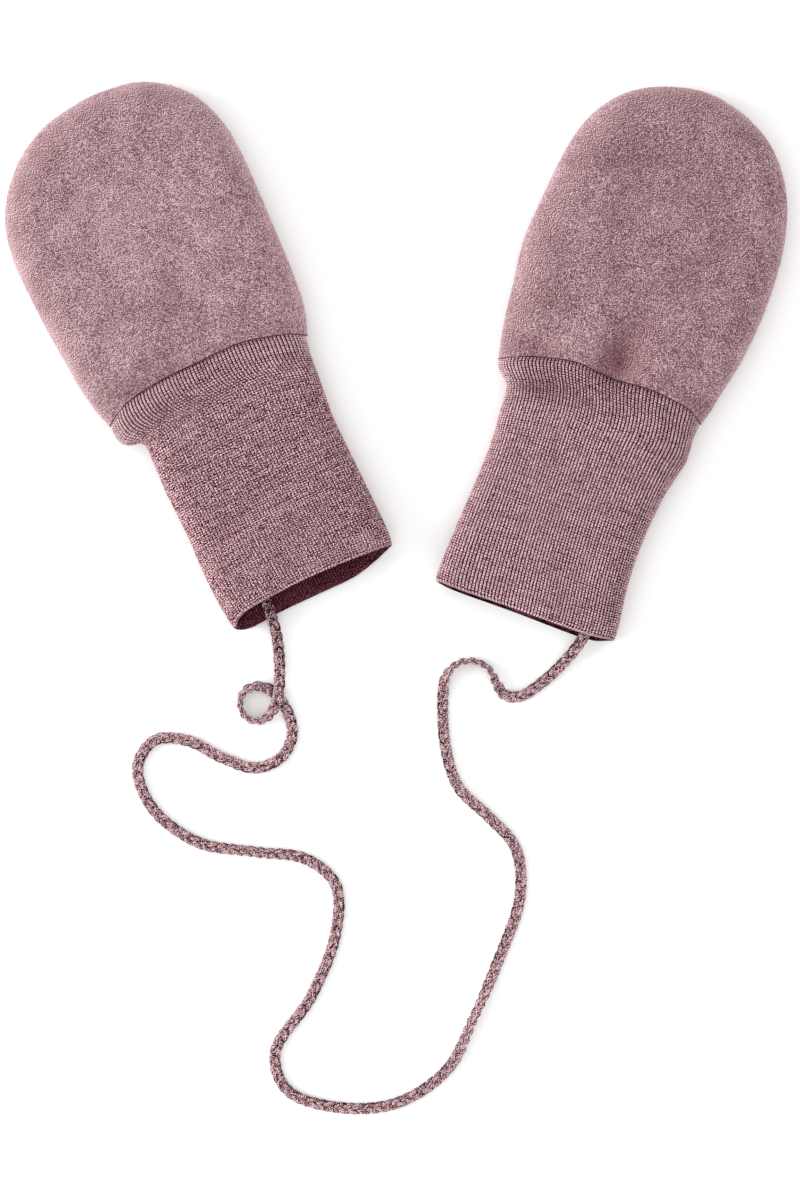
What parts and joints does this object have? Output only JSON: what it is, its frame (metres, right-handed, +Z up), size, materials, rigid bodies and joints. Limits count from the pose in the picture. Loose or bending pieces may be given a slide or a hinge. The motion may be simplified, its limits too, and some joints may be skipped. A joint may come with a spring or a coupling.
{
  "type": "pair of baby mittens",
  "caption": "Pair of thumbless baby mittens laid flat, with thick fleece hands, fine ribbed knit cuffs and a thin braided cord that joins them at the cuffs.",
  "frame": {"origin": "on the surface that the pair lies on, under the middle of the box round the two mittens", "axes": "+X from the left mitten to the right one, +Y from the cuffs towards the finger tips, +Z up from the surface"},
  "size_m": [0.2501, 0.3305, 0.0168],
  "materials": {
    "fleece": "dusty mauve brushed wool fleece with a short soft nap",
    "rib_knit": "heathered dusty mauve fine rib knit",
    "cord_knit": "flat plaited cord of pink and plum yarns"
  },
  "bodies": {
    "root": {"left_hand_front": "fleece", "left_hand_back": "fleece", "left_cuff": "rib_knit", "right_hand_front": "fleece", "right_hand_back": "fleece", "right_cuff": "rib_knit", "cord": "cord_knit"}
  },
  "joints": []
}
